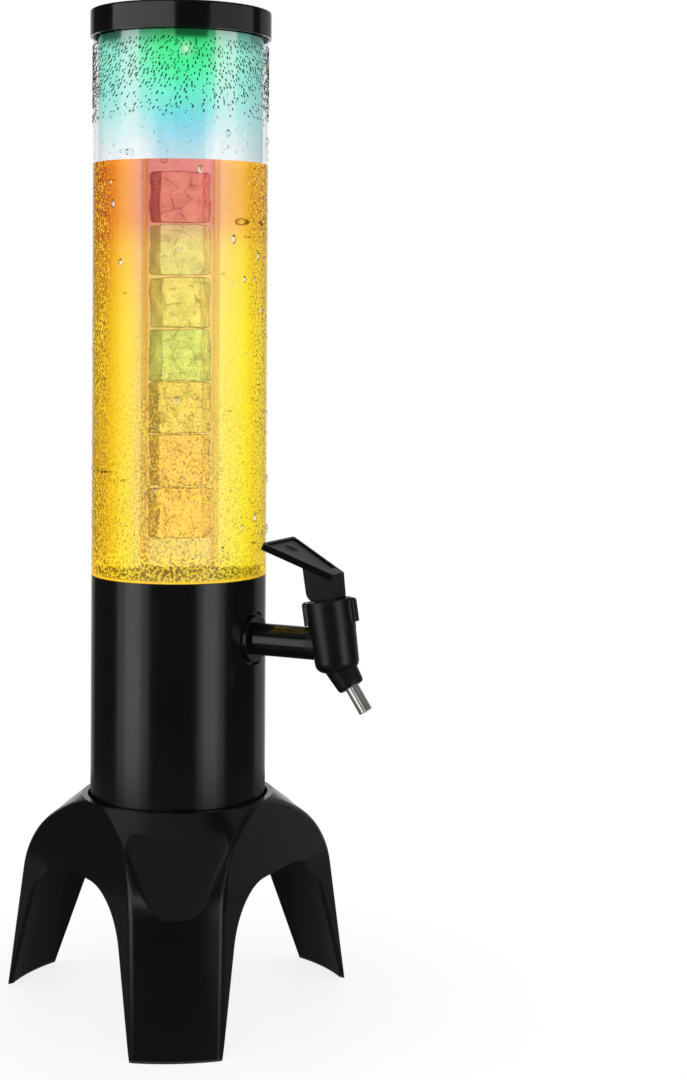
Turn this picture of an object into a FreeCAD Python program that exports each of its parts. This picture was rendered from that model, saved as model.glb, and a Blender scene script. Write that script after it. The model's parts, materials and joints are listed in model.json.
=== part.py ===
"""A three-litre table-top drink tower: a clear reservoir on a black column and tripod, with a
lift-off lid that carries an ice tube and a light, and a lever tap at the foot of the reservoir.

Frame: millimetres, +Z up, the origin on the tower's axis in the plane it stands on.
The tap points along -Y, and one leg stands at the back, along +Y.
"""
import FreeCAD, Part
import os
from math import cos, pi, radians, sin, tan

V = FreeCAD.Vector
UP = V(0, 0, 1)
OUT = V(0, -1, 0)        # the tap's direction
SIDE = V(1, 0, 0)
os.makedirs("parts", exist_ok=True)

# ---- clearances -------------------------------------------------------------------------------
runningGap = 0.05        # a shaft turning or sliding in its hole, on the radius
fitGap = 0.1             # two pieces that are pushed or screwed together
slideGap = 0.3           # a cover that drops over a wall, a rubber piece beside a moving one
pinGap = 0.02            # a pin driven into its hole
past = 1.0               # how far a cutting form runs on past a face
farPast = 10.0           # the same for the tripod's large cutting forms
levelRise = 1.0          # an edge that rises less than this counts as level

# ---- reservoir and column ---------------------------------------------------------------------
tubeRadius = 53.0        # outside of the clear tube and of the column
tubeWall = 3.0
tubeShown = 337.5        # length of clear tube between the column's top and its open brim
columnSeat = 113.0       # height of the column's lower end, on the tripod's ledge
columnLength = 147.0
columnWall = 3.0
spigotLength = 12.0      # the turned-down end of the clear tube, inside the column
spigotStep = 1.5         # how much of the tube's wall the spigot loses
tubeSealHeight = 1.5
floorDepth = 55.0        # the reservoir's floor below the column's top
floorThickness = 4.0
screwAngles = (0.0, 120.0, 240.0)
screwInset = 8.0         # the three base screws' centres, in from the column's bore
screwShank = 2.0
screwHole = 2.3
screwHead = 4.0
screwHeadHeight = 2.6
screwLength = 18.0       # from the ledge's underside into the boss
screwBoss = 5.0
screwBossHeight = 24.0
screwPilotSpare = 2.0
bossRib = 5.0

# ---- tripod -----------------------------------------------------------------------------------
legAngles = (60.0, 180.0, 300.0)     # turned from the tap's direction, seen from above
archAngles = (0.0, 120.0, 240.0)
shellWall = 3.0
ringGap = 1.6            # the dark gap between the column and the round collar it stands in
ringWall = 3.4
ringHeight = 14.0        # the collar's top edge above the ledge
ringFlare = 5.0          # how much wider the collar is where it reaches the ledge
ringLip = 1.2            # rounding of the collar's top edge
ledgeThickness = 4.0
ledgeWidth = 20.6        # from the collar's inside to the ledge's open middle
legReach = 52.0          # how far out a leg stands, beyond the collar
footPadHeight = 1.2
legLean = 8.65           # degrees from upright, a leg's outer face
shoulderSlope = 38.0     # degrees below level, a leg's top
shoulderRound = 58.0
webTopReach = 0.6        # the web between two legs: how far beyond the collar it starts,
webKneeReach = 11.5      # bends down
webFootReach = 17.8      # and meets the floor
webKneeDrop = 19.7       # height of that bend below the ledge
webRound = 100.0
cornerRound = 6.0        # the ridge round a web, where it meets the legs' outer faces
archDrop = 22.0          # top of the arch between two legs, below the ledge
legFootHalf = 32.9       # half a leg's width at the floor
archTopHalf = 48.2       # half the arch's width at its top
archRound = 44.0
dishFootInset = 11.6     # the floor of the hollow in a leg's top starts this far in from the foot
dishFootDrop = 50.5      # and below the collar's top,
dishHeadReach = 12.0     # and runs out on the shoulder, this far beyond the collar
dishHeadDrop = 9.4
dishFootHalf = 14.5      # half the hollow's width at its foot
dishHeadHalf = 36.0
dishRound = 10.0         # rounding between the hollow's floor and its sides
dishSpare = 2.5          # how far the hollow's sides run on below its foot
dishRoundLimit = 0.9     # largest rounding, as a share of the hollow's half width there

# ---- lid, ice tube and light ------------------------------------------------------------------
lidDeck = 2.5            # thickness of the lid above the tube's brim
lidSkirt = 13.5          # the lid's skirt, down from the brim
lidSkirtWall = 1.5
lidEdgeRound = 1.2
plugSkirt = 17.5         # the lid's inner skirt, down from the brim
plugGap = 1.4            # between the inner skirt and the tube
plugWall = 2.2
lidSealDrop = 8.5        # the ring's middle below the brim
lidSealCord = 1.0        # radius of the ring's cord
socketDepth = 23.5       # the collar that holds the ice tube, down from the brim
socketWall = 3.0
iceTubeRadius = 18.0
iceTubeWall = 2.0
iceTubeDrop = 3.5        # the ice tube's mouth below the brim
iceTubeLength = 338.0
iceTubeRound = 14.0
iceSealDrop = 17.5
iceSealCord = 0.9
lightGap = 0.4           # between the light's case and the ice tube
lightWall = 1.4
lightFlangeWidth = 3.4
lightFlangeThickness = 1.2
lensDrop = 19.5          # the lens's lower face below the brim
lensThickness = 1.6
lensFlange = 3.0         # the lens below the light's case
lensHeight = 5.6         # up to the light's circuit board
lensRound = 2.0
boardThickness = 1.2
chipAngles = (0.0, 120.0, 240.0)
chipSize = 3.0
chipHeight = 1.0
chipCircle = 5.0
cellRadius = 10.0
cellHeight = 3.2
cellCount = 2
holderSpare = 0.1
switchSize = 6.0
plungerRadius = 1.5
plungerHeight = 0.3
buttonRadius = 7.0
buttonCollar = 9.0
buttonCollarHeight = 1.4
buttonTravel = 0.8
buttonRound = 0.4

# ---- tap, in the tower's frame ------------------------------------------------------------------
shankRise = 19.0         # the tap's level inlet above the reservoir's floor
shankRadius = 9.6
shankBore = 5.0
tailRadius = 8.0         # the threaded end, inside the reservoir
bossRadius = 16.0        # the flat spot in the column's wall that the tap is tightened against
flatDepth = 1.9          # how far it is sunk into the round wall
bossDepth = 4.5          # how far its pad stands into the reservoir
washerThickness = 0.8
outerWasherRadius = 13.4
innerWasherRadius = 12.0
flangeRadius = 14.2
flangeThickness = 2.0
flangeRound = 0.6
nutAcross = 23.0
nutThickness = 6.0
tailSpare = 1.5          # thread that shows past the nut
barrelReach = 54.6       # from the flat spot to where inlet and barrel cross
barrelTilt = 9.0         # degrees, the foot of the barrel outwards
spoutTilt = 34.0         # degrees, the foot of the spout outwards
collarEndReach = 11.3    # centre of the spout collar's lower end, beyond that crossing
collarEndDrop = 23.6     # and below it

# ---- tap, along the barrel: heights from the inlet's axis -----------------------------------------
barrelRadius = 13.8
barrelFootRadius = 12.9
barrelFoot = -15.3
barrelFootRound = 6.0
barrelShoulder = 9.0     # where body and bonnet meet
neckRadius = 11.3
neckTop = 13.5
chamberRadius = 9.3
chamberFloor = -6.0
seatHeight = 1.0
seatRadius = 5.0
outletRadius = 3.0
outletDepth = 9.5        # below the inlet's axis
sealDiscThickness = 1.2
sealDiscRadius = 11.1
bonnetRadius = 14.0
bonnetTop = 26.9
bonnetRound = 0.7
deckTop = 26.3           # the bonnet's deck, which the lever's cam rolls on
deckThickness = 2.6
recessRadius = 12.6
springRoom = 8.0
lugReach = 17.4
lugWidth = 6.4
lugHeight = 14.0
lugRound = 2.2
stemRadius = 2.5
stemCollar = 7.0
stemCollarHeight = 1.2
stemCollarGap = 0.2      # above the rubber disc
plugHeadRadius = 6.6
plugHeadHeight = 5.5
plugHeadRound = 1.2
plugNeckRound = 2.4
plugDepth = 4.0          # how far the stem's end reaches into the rubber plug
springWire = 0.45        # half the wire's width across its corners
springSides = 8
springRadius = 5.6
springTurns = 3.5
camHeight = 6.5          # hinge pin above the deck, also the cam's rounding
camOffset = 4.1          # the cam's centre behind the pin, which gives the lift
camFront = 7.9
camWidth = 14.6
leverTravel = 25.0       # degrees
pinRadius = 1.5
eyeRadius = 3.5
eyeThickness = 5.0
slotGap = 0.3            # between the stem's eye and the lever's slot
paddleFrontReach = 8.8   # the paddle's near top edge, outwards
paddleFrontHeight = 41.4
paddleHeel = 3.0         # how far the cam's top runs along the paddle
paddleLength = 43.7
paddleSlope = 33.1       # degrees
paddleThickness = 4.0
paddleFarHalf = 20.5
paddleCorner = 1.5
paddleRim = 1.7
paddleRecess = 1.0
paddleRecessStart = 6.0
dimplePlace = 33.5       # along the paddle
dimpleRadius = 4.6
dimpleDepth = 1.1

# ---- tap, along the spout: heights from the collar's lower end -------------------------------------
spoutCollarLength = 17.0
spoutCollarEnd = 8.0
spoutCollarRoot = 9.7
spoutCollarRound = 2.0
stubRadius = 6.0
stubStart = 3.0
stubEnd = 18.0
spoutRadius = 4.1
spoutWall = 0.7
spoutLength = 16.2       # beyond the collar
spoutInsert = 9.0        # the part of the spout inside the collar,
spoutInsertRadius = 3.9  # turned down to a shoulder at the collar's end

# ---- what follows from them -------------------------------------------------------------------
columnTop = columnSeat + columnLength
tubeBrim = columnTop + tubeShown
floorTop = columnTop - floorDepth
tubeBore = tubeRadius - tubeWall
columnBore = tubeRadius - columnWall
screwCircle = columnBore - screwInset
spigotRadius = tubeRadius - spigotStep
spigotBottom = columnTop - spigotLength
tubeSealBottom = spigotBottom - tubeSealHeight
collarBore = tubeRadius + ringGap
ringRadius = collarBore + ringWall
ringFoot = ringRadius + ringFlare
ringTop = columnSeat + ringHeight
ledgeBottom = columnSeat - ledgeThickness
ledgeBore = collarBore - ledgeWidth
footRadius = ringRadius + legReach
webTop = ringRadius + webTopReach
webKnee = ringRadius + webKneeReach
webKneeHeight = ledgeBottom - webKneeDrop
webFoot = ringRadius + webFootReach
archTop = ledgeBottom - archDrop
archFootHalf = footRadius * sin(radians(legAngles[0])) - legFootHalf * cos(radians(legAngles[0]))
dishFoot = footRadius - dishFootInset, ringTop - dishFootDrop
dishHead = ringRadius + dishHeadReach, ringTop - dishHeadDrop
lidTop = tubeBrim + lidDeck
lidRim = tubeBrim - lidSkirt
plugRim = tubeBrim - plugSkirt
plugRadius = tubeBore - plugGap
lidSealLevel = tubeBrim - lidSealDrop
socketRim = tubeBrim - socketDepth
iceTubeTop = tubeBrim - iceTubeDrop
iceTubeBottom = iceTubeTop - iceTubeLength
iceSealLevel = tubeBrim - iceSealDrop
lightRadius = iceTubeRadius - iceTubeWall - lightGap
lightFlange = lightRadius + lightFlangeWidth
lensBottom = tubeBrim - lensDrop
ledBoardBottom = lensBottom + lensHeight
lidSkirtBore = tubeRadius + slideGap
lidRadius = lidSkirtBore + lidSkirtWall
lightFlangeBottom = lidTop - lightFlangeThickness
lightBore = lightRadius - lightWall
lightFoot = lensBottom + lensFlange
boardRadius = lightBore - fitGap
cellBottom = ledBoardBottom + boardThickness
switchBoardBottom = cellBottom + cellCount * cellHeight + holderSpare
switchBottom = switchBoardBottom + boardThickness
buttonBottom = lightFlangeBottom - buttonCollarHeight
plungerTop = buttonBottom - buttonTravel - runningGap
shankHeight = floorTop + shankRise
bossFace = tubeRadius - flatDepth
bossInnerFace = columnBore - bossDepth
barrelOut = bossFace + barrelReach
collarEnd = barrelOut + collarEndReach, shankHeight - collarEndDrop
washerFace = bossFace + washerThickness
innerWasherFace = bossInnerFace - washerThickness
nutFace = innerWasherFace - nutThickness
tailEnd = nutFace - tailSpare
sealDiscTop = neckTop + sealDiscThickness
deckBottom = deckTop - deckThickness
stemCollarBottom = sealDiscTop + stemCollarGap
stemCollarTop = stemCollarBottom + stemCollarHeight
plugBottom = chamberFloor + seatHeight + runningGap
plugTop = plugBottom + plugHeadHeight
pinHeight = deckTop + camHeight
camRear = camOffset + camHeight
barrelPlace = FreeCAD.Placement(V(0, -barrelOut, shankHeight),
                                FreeCAD.Rotation(SIDE, -barrelTilt))
spoutPlace = FreeCAD.Placement(V(0, -collarEnd[0], collarEnd[1]),
                               FreeCAD.Rotation(SIDE, -spoutTilt))


# ---- helpers ----------------------------------------------------------------------------------
def faceOf(points, at):
    """The face inside a closed outline of (u, v) or (u, v, rounding) points, placed by at(u, v)."""
    corners = []
    for i, point in enumerate(points):
        here = V(point[0], point[1], 0)
        if len(point) == 2:
            corners.append((here, None, here))
            continue
        before = (V(*points[i - 1][:2], 0) - here).normalize()
        after = (V(*points[(i + 1) % len(points)][:2], 0) - here).normalize()
        half = before.getAngle(after) / 2
        inward = (before + after).normalize()
        reach, rounding = point[2] / tan(half), point[2]
        corners.append((here + before * reach, here + inward * (rounding / sin(half) - rounding),
                        here + after * reach))
    edges = []
    for i, (start, middle, end) in enumerate(corners):
        following = corners[(i + 1) % len(corners)][0]
        if middle is not None:
            edges.append(Part.Arc(*[at(p.x, p.y) for p in (start, middle, end)]).toShape())
        if end.distanceToPoint(following) > 1e-6:
            edges.append(Part.LineSegment(at(end.x, end.y), at(following.x, following.y)).toShape())
    return Part.Face(Part.Wire(edges))


def lathe(*points):
    """A body turned about the Z axis from (radius, height) points."""
    return faceOf(points, lambda r, z: V(r, 0, z)).revolve(V(0, 0, 0), UP, 360)


def pipe(outer, inner, low, high):
    return lathe((inner, low), (outer, low), (outer, high), (inner, high))


def rod(radius, start, end):
    """A round bar from one point to another."""
    return Part.makeCylinder(radius, (end - start).Length, start, end - start)


def block(low, high):
    return Part.makeBox(*(high - low), low)


def ring(radius, cord, level):
    """An O-ring about the Z axis."""
    return Part.makeTorus(radius, cord, V(0, 0, level), UP)


def turned(shape, angle):
    """A copy turned about the tower's axis."""
    copy = shape.copy()
    copy.rotate(V(0, 0, 0), UP, angle)
    return copy


def placed(shape, place):
    copy = shape.copy()
    copy.Placement = place.multiply(copy.Placement)
    return copy


def together(shapes):
    return shapes[0].fuse(list(shapes[1:])).removeSplitter()


def save(name, shape):
    shape.exportStep(f"parts/{name}.step")
    print(f"{name}: {len(shape.Solids)} solid(s), {shape.Volume / 1000:.2f} cm3, "
          f"valid {shape.isValid()}")


# ---- tripod -----------------------------------------------------------------------------------
def tripodBell(inset, foot):
    """The turned form that the legs' outer faces and shoulders lie on."""
    lean, slope = tan(radians(legLean)), tan(radians(shoulderSlope))
    top = ringTop - inset / cos(radians(shoulderSlope))
    footLine = footRadius - inset / cos(radians(legLean))
    kneeHeight = (top + slope * (ringRadius - footLine)) / (1 - slope * lean)
    return lathe((0, foot), (footLine - lean * foot, foot),
                 (footLine - lean * kneeHeight, kneeHeight, shoulderRound - inset),
                 (ringRadius, top), (0, top))


def tripodWeb(inset):
    """Everything on the axis side of the web between two legs, for the arch along -Y."""
    fall = (webKnee - webTop) / (ringTop - webKneeHeight)
    flare = (webFoot - webKnee) / webKneeHeight
    above, below, wide = ringTop + farPast, -farPast, 2 * footRadius
    section = faceOf([(-wide, below), (webFoot - flare * below - inset, below),
                      (webKnee - inset, webKneeHeight, webRound),
                      (webTop - fall * (above - ringTop) - inset, above), (-wide, above)],
                     lambda u, z: V(-wide, -u, z))
    return section.extrude(SIDE * 2 * wide)


def tripodDish(inset):
    """What is hollowed out of a leg's top, for a leg along -Y: a floor between two steep sides."""
    climb = (dishHead[1] - dishFoot[1]) / (dishFoot[0] - dishHead[0])
    narrowing = (dishHeadHalf - dishFootHalf) / (dishHead[1] - dishFoot[1])
    aside = inset * (1 + narrowing ** 2) ** 0.5
    apex = dishFoot[1] + climb * dishFoot[0] - inset * (1 + climb ** 2) ** 0.5
    halfWidth = lambda height: dishFootHalf + narrowing * (height - dishFoot[1]) + aside
    low, high = dishFoot[1] - dishSpare, ringTop + dishSpare
    wedge = faceOf([(-halfWidth(low), low), (halfWidth(low), low), (halfWidth(high), high),
                    (-halfWidth(high), high)], lambda s, z: V(s, 0, z)).extrude(OUT * 2 * footRadius)
    floor = lathe((0, low - past), ((apex - low + past) / climb, low - past), (0, apex))
    wedge = wedge.cut(floor)
    rounding = min(dishRound + inset, dishRoundLimit * halfWidth(low))
    return wedge.makeFillet(rounding, risingCurves(wedge))


def tripodForm(inset, foot):
    """The tripod as if it were solid, drawn in by a wall."""
    form = tripodBell(inset, foot)
    for angle in archAngles:
        form = form.common(turned(tripodWeb(inset), angle))
    form = form.makeFillet(cornerRound - inset, risingCurves(form))
    for angle in legAngles:
        form = form.cut(turned(tripodDish(inset), angle))
    return form


def risingCurves(form):
    """The curved edges that climb, as where a leg's faces meet, and not the level or straight ones."""
    return [e for e in form.Edges if e.BoundBox.ZLength > levelRise and e.Curve.TypeId != "Part::GeomLine"]


def archCutter():
    """The arch between two legs, along -Y."""
    spread = (archFootHalf - archTopHalf) / archTop
    below = -farPast
    foot = archFootHalf - spread * below
    section = faceOf([(-foot, below), (-archTopHalf, archTop, archRound),
                      (archTopHalf, archTop, archRound), (foot, below)],
                     lambda t, z: V(t, -ledgeBore / 2, z))
    return section.extrude(OUT * 2 * footRadius)


def tripodBase():
    shell = tripodForm(0, 0).cut(tripodForm(shellWall, -past))
    for angle in archAngles:
        shell = shell.cut(turned(archCutter(), angle))
    collar = lathe((collarBore - past, ledgeBottom), (ringFoot, ledgeBottom),
                   (ringRadius, ringTop, ringLip), (collarBore - past, ringTop))
    ledge = pipe(ringRadius - past, ledgeBore, ledgeBottom, columnSeat)
    base = shell.fuse([collar, ledge])
    base = base.cut(Part.makeCylinder(collarBore, ringTop, V(0, 0, columnSeat)))
    hole = rod(screwHole, V(0, -screwCircle, ledgeBottom - past),
               V(0, -screwCircle, columnSeat + past))
    return base.cut([turned(hole, a) for a in screwAngles]).removeSplitter()


def baseScrew():
    head = rod(screwHead, V(0, -screwCircle, ledgeBottom - screwHeadHeight),
               V(0, -screwCircle, ledgeBottom))
    shank = rod(screwShank, V(0, -screwCircle, ledgeBottom),
                V(0, -screwCircle, ledgeBottom + screwLength))
    return together([head, shank])


# ---- column and reservoir ---------------------------------------------------------------------
def columnHousing():
    floorBottom = floorTop - floorThickness
    body = lathe((columnBore, columnSeat), (tubeRadius, columnSeat), (tubeRadius, columnTop),
                 (spigotRadius + fitGap, columnTop), (spigotRadius + fitGap, tubeSealBottom),
                 (columnBore, tubeSealBottom), (columnBore, floorTop), (0, floorTop),
                 (0, floorBottom), (columnBore, floorBottom))
    tapPad = rod(bossRadius, V(0, -bossInnerFace, shankHeight), V(0, -bossFace, shankHeight))
    flatSpot = rod(bossRadius, V(0, -bossFace, shankHeight), V(0, -tubeRadius - past, shankHeight))
    body = body.cut(flatSpot).fuse(tapPad)
    for angle in screwAngles:
        boss = rod(screwBoss, V(0, -screwCircle, columnSeat),
                   V(0, -screwCircle, columnSeat + screwBossHeight))
        rib = block(V(-bossRib / 2, -columnBore - columnWall / 2, columnSeat),
                    V(bossRib / 2, -screwCircle, columnSeat + screwBossHeight))
        pilot = rod(screwShank + runningGap, V(0, -screwCircle, columnSeat - past),
                    V(0, -screwCircle, ledgeBottom + screwLength + screwPilotSpare))
        body = body.fuse([turned(boss, angle), turned(rib, angle)]).cut(turned(pilot, angle))
    tapHole = rod(tailRadius + fitGap, V(0, -bossInnerFace + past, shankHeight),
                  V(0, -bossFace - past, shankHeight))
    return body.cut(tapHole).removeSplitter()


def clearTube():
    return lathe((tubeBore, spigotBottom), (spigotRadius, spigotBottom),
                 (spigotRadius, columnTop), (tubeRadius, columnTop), (tubeRadius, tubeBrim),
                 (tubeBore, tubeBrim))


# ---- lid, ice tube and light ------------------------------------------------------------------
def lid():
    cover = lathe((0, tubeBrim), (lidSkirtBore, tubeBrim), (lidSkirtBore, lidRim),
                  (lidRadius, lidRim), (lidRadius, lidTop, lidEdgeRound), (0, lidTop))
    plug = pipe(plugRadius, plugRadius - plugWall, plugRim, tubeBrim)
    socket = pipe(iceTubeRadius + fitGap + socketWall, iceTubeRadius + fitGap, socketRim, tubeBrim)
    cover = cover.fuse([plug, socket])
    lightSeat = pipe(lightFlange + fitGap, 0, lightFlangeBottom, lidTop + past)
    lightHole = pipe(lightRadius + fitGap, 0, tubeBrim - past, lidTop)
    sealGroove = pipe(plugRadius + past, lidSealMiddle() - lidSealCord,
                      lidSealLevel - lidSealCord, lidSealLevel + lidSealCord)
    iceGroove = pipe(iceSealMiddle() + iceSealCord, iceTubeRadius, iceSealLevel - iceSealCord,
                     iceSealLevel + iceSealCord)
    return cover.cut([lightSeat, lightHole, sealGroove, iceGroove]).removeSplitter()


def lidSealMiddle():
    return tubeBore - slideGap - lidSealCord


def iceSealMiddle():
    return iceTubeRadius + runningGap + iceSealCord


def iceTube():
    bore = iceTubeRadius - iceTubeWall
    inside = iceTubeBottom + iceTubeWall
    return lathe((0, iceTubeBottom), (iceTubeRadius, iceTubeBottom, iceTubeRound),
                 (iceTubeRadius, iceTubeTop), (bore, iceTubeTop),
                 (bore, inside, iceTubeRound - iceTubeWall), (0, inside))


def ledHousing():
    return lathe((lightBore, lightFoot), (lightRadius, lightFoot),
                 (lightRadius, lightFlangeBottom), (lightFlange, lightFlangeBottom),
                 (lightFlange, lidTop), (buttonRadius + fitGap, lidTop),
                 (buttonRadius + fitGap, lightFlangeBottom), (lightBore, lightFlangeBottom))


def ledLens():
    inner = boardRadius - lightWall
    return lathe((0, lensBottom), (lightRadius, lensBottom, lensRound), (lightRadius, lightFoot),
                 (boardRadius, lightFoot), (boardRadius, ledBoardBottom), (inner, ledBoardBottom),
                 (inner, lensBottom + lensThickness), (0, lensBottom + lensThickness))


def ledChips():
    half = chipSize / 2
    chip = block(V(-half, -chipCircle - half, ledBoardBottom - chipHeight),
                 V(half, -chipCircle + half, ledBoardBottom))
    return Part.makeCompound([turned(chip, a) for a in chipAngles])


def coinCells():
    return Part.makeCompound([pipe(cellRadius, 0, cellBottom + i * cellHeight,
                                   cellBottom + (i + 1) * cellHeight) for i in range(cellCount)])


def ledSwitch():
    half = switchSize / 2
    body = block(V(-half, -half, switchBottom), V(half, half, plungerTop - plungerHeight))
    plunger = pipe(plungerRadius, 0, switchBottom, plungerTop)
    return together([body, plunger])


def ledButton():
    return lathe((0, buttonBottom), (buttonCollar, buttonBottom),
                 (buttonCollar, lightFlangeBottom), (buttonRadius, lightFlangeBottom),
                 (buttonRadius, lidTop, buttonRound), (0, lidTop))


# ---- tap --------------------------------------------------------------------------------------
def barrelForm():
    """The outside of the tap's barrel, about its own axis."""
    return lathe((0, barrelFoot), (barrelFootRadius, barrelFoot, barrelFootRound),
                 (barrelRadius, barrelShoulder), (neckRadius, barrelShoulder),
                 (neckRadius, neckTop), (0, neckTop))


def tapBody():
    inlet = V(0, 0, shankHeight)
    tail = rod(tailRadius, inlet + OUT * tailEnd, inlet + OUT * (washerFace + past))
    flange = rod(flangeRadius, inlet + OUT * washerFace,
                 inlet + OUT * (washerFace + flangeThickness))
    flange = flange.makeFillet(flangeRound, [e for e in flange.Edges if len(e.Vertexes) == 1
                                             and e.BoundBox.YMax < -washerFace - past])
    shank = rod(shankRadius, inlet + OUT * washerFace, inlet + OUT * barrelOut)
    barrel = placed(barrelForm(), barrelPlace)
    stub = placed(pipe(stubRadius, 0, stubStart, stubEnd), spoutPlace)
    body = together([tail, flange, shank, barrel, stub])
    chamber = placed(pipe(chamberRadius, 0, chamberFloor, neckTop + past), barrelPlace)
    seat = placed(pipe(seatRadius, outletRadius, chamberFloor - past, chamberFloor + seatHeight),
                  barrelPlace)
    outlet = placed(pipe(outletRadius, 0, -outletDepth, chamberFloor + seatHeight + past),
                    barrelPlace)
    inletBore = rod(shankBore, inlet + OUT * (tailEnd - past), inlet + OUT * barrelOut)
    spoutBore = placed(pipe(outletRadius, 0, stubStart - past, stubEnd), spoutPlace)
    spoutSocket = placed(pipe(spoutInsertRadius + runningGap, 0, stubStart - past, spoutInsert),
                         spoutPlace)
    bonnetRoom = placed(pipe(bonnetRadius + slideGap, neckRadius, barrelShoulder, sealDiscTop),
                        barrelPlace)
    body = body.cut([chamber, inletBore, bonnetRoom]).fuse(seat)
    return body.cut([outlet, spoutBore, spoutSocket]).removeSplitter()


def washer(radius, face):
    """A flat rubber washer on the tap's tail, with its outer face this far from the axis."""
    inlet = V(0, 0, shankHeight)
    ends = inlet + OUT * (face - washerThickness), inlet + OUT * face
    return rod(radius, *ends).cut(rod(tailRadius + fitGap, *ends))


def shankNut():
    corner = nutAcross / 2 / cos(radians(30))
    points = [(corner * cos(radians(a)), corner * sin(radians(a))) for a in range(0, 360, 60)]
    nut = faceOf(points, lambda x, z: V(x, -nutFace, shankHeight + z)).extrude(OUT * nutThickness)
    return nut.cut(rod(tailRadius + runningGap, V(0, -nutFace + past, shankHeight),
                       V(0, -innerWasherFace - past, shankHeight)))


def bonnet():
    cap = lathe((0, barrelShoulder), (bonnetRadius, barrelShoulder),
                (bonnetRadius, bonnetTop, bonnetRound), (0, bonnetTop))
    lugs = block(V(-lugWidth / 2, -lugReach, bonnetTop - lugHeight),
                 V(lugWidth / 2, lugReach, bonnetTop))
    lugs = lugs.makeFillet(lugRound, [e for e in lugs.Edges
                                      if e.BoundBox.ZMax > bonnetTop - lugHeight / 2])
    cap = cap.fuse(lugs)
    neck = pipe(neckRadius + fitGap, 0, barrelShoulder - past, sealDiscTop)
    room = pipe(springRoom, 0, sealDiscTop - past, deckBottom)
    hole = pipe(stemRadius + runningGap, 0, deckBottom - past, deckTop + past)
    recess = pipe(recessRadius, 0, deckTop, bonnetTop + past)
    return cap.cut([neck, room, hole, recess]).removeSplitter()


def valveStem():
    bar = pipe(stemRadius, 0, plugTop - plugDepth, pinHeight)
    collar = pipe(stemCollar, 0, stemCollarBottom, stemCollarTop)
    half = eyeThickness / 2
    eye = rod(eyeRadius, V(-half, 0, pinHeight), V(half, 0, pinHeight))
    hole = rod(pinRadius + runningGap, V(-half - past, 0, pinHeight),
               V(half + past, 0, pinHeight))
    return together([bar, collar, eye]).cut(hole)


def seatPlug():
    return lathe((0, plugBottom), (plugHeadRadius, plugBottom, plugHeadRound),
                 (plugHeadRadius, plugTop, plugNeckRound), (stemRadius, plugTop),
                 (stemRadius, plugTop - plugDepth), (0, plugTop - plugDepth))


def returnSpring():
    low = stemCollarTop + springWire + runningGap
    high = deckBottom - springWire - runningGap
    pitch = (high - low) / springTurns
    coil = Part.makeHelix(pitch, high - low, springRadius)
    corners = [2 * pi * i / springSides for i in range(springSides + 1)]
    section = Part.makePolygon([V(springRadius + springWire * cos(a), 0, springWire * sin(a))
                                for a in corners])
    spring = Part.Wire(coil).makePipeShell([section], True, True)
    spring.translate(V(0, 0, low))
    return spring


def lever():
    """The lever in the barrel's frame: a cam block, and a paddle that fans out towards the tower."""
    at = lambda out, z: V(-camWidth / 2, -out, z)
    along = radians(paddleSlope)
    front, height = paddleFrontReach, paddleFrontHeight
    rearTop = height + (front + camRear) * tan(along) - paddleThickness / 2 / cos(along)
    cam = faceOf([(camFront, deckTop), (front, height),
                  (front - paddleHeel * cos(along), height + paddleHeel * sin(along)),
                  (-camRear, rearTop), (-camRear, deckTop, camHeight)], at).extrude(SIDE * camWidth)
    down = V(0, sin(along), -cos(along))
    top = lambda x, reach: V(x, reach * cos(along) - front, height + reach * sin(along))
    half = camWidth / 2
    fan = faceOf([(-half, 0), (half, 0), (paddleFarHalf, paddleLength, paddleCorner),
                  (-paddleFarHalf, paddleLength, paddleCorner)], top)
    body = together([cam, fan.extrude(down * paddleThickness)])
    spread = (paddleFarHalf - half) / paddleLength
    side = paddleRim * (1 + spread ** 2) ** 0.5
    recessHalf = lambda reach: half + spread * reach - side
    end = paddleLength - paddleRim
    hollow = faceOf([(-recessHalf(paddleRecessStart), paddleRecessStart),
                     (recessHalf(paddleRecessStart), paddleRecessStart),
                     (recessHalf(end), end, paddleCorner),
                     (-recessHalf(end), end, paddleCorner)],
                    lambda x, reach: top(x, reach) - down)
    hollow = hollow.extrude(down * (paddleRecess + past))
    ball = (dimpleRadius ** 2 + dimpleDepth ** 2) / (2 * dimpleDepth)
    dimple = Part.makeSphere(ball, top(0, dimplePlace) + down * (paddleRecess + dimpleDepth - ball))
    wide = eyeThickness / 2 + slotGap
    room = eyeRadius + slotGap
    swing = camHeight * tan(radians(leverTravel)) + stemRadius / cos(radians(leverTravel))
    slot = faceOf([(room, deckTop - past), (room, pinHeight + room), (-room, pinHeight + room),
                   (-room, pinHeight), (-swing - 2 * slotGap, deckTop),
                   (-swing - 2 * slotGap, deckTop - past)],
                  lambda out, z: V(-wide, -out, z)).extrude(SIDE * 2 * wide)
    hole = rod(pinRadius + pinGap, V(-camWidth, 0, pinHeight), V(camWidth, 0, pinHeight))
    return body.cut([hollow, dimple, slot, hole]).removeSplitter()


def leverPin():
    return rod(pinRadius, V(-camWidth / 2, 0, pinHeight), V(camWidth / 2, 0, pinHeight))


def spoutCollar():
    cone = lathe((0, 0), (spoutCollarEnd, 0, spoutCollarRound),
                 (spoutCollarRoot, spoutCollarLength), (0, spoutCollarLength))
    stubHole = pipe(stubRadius + fitGap, 0, stubStart, spoutCollarLength + past)
    tubeHole = pipe(spoutInsertRadius + fitGap, 0, -past, stubStart + past)
    hollow = placed(cone.cut([stubHole, tubeHole]), spoutPlace)
    barrel = placed(pipe(barrelRadius + fitGap, 0, 0, neckTop), barrelPlace)
    return hollow.cut([placed(barrelForm(), barrelPlace), barrel])


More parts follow.
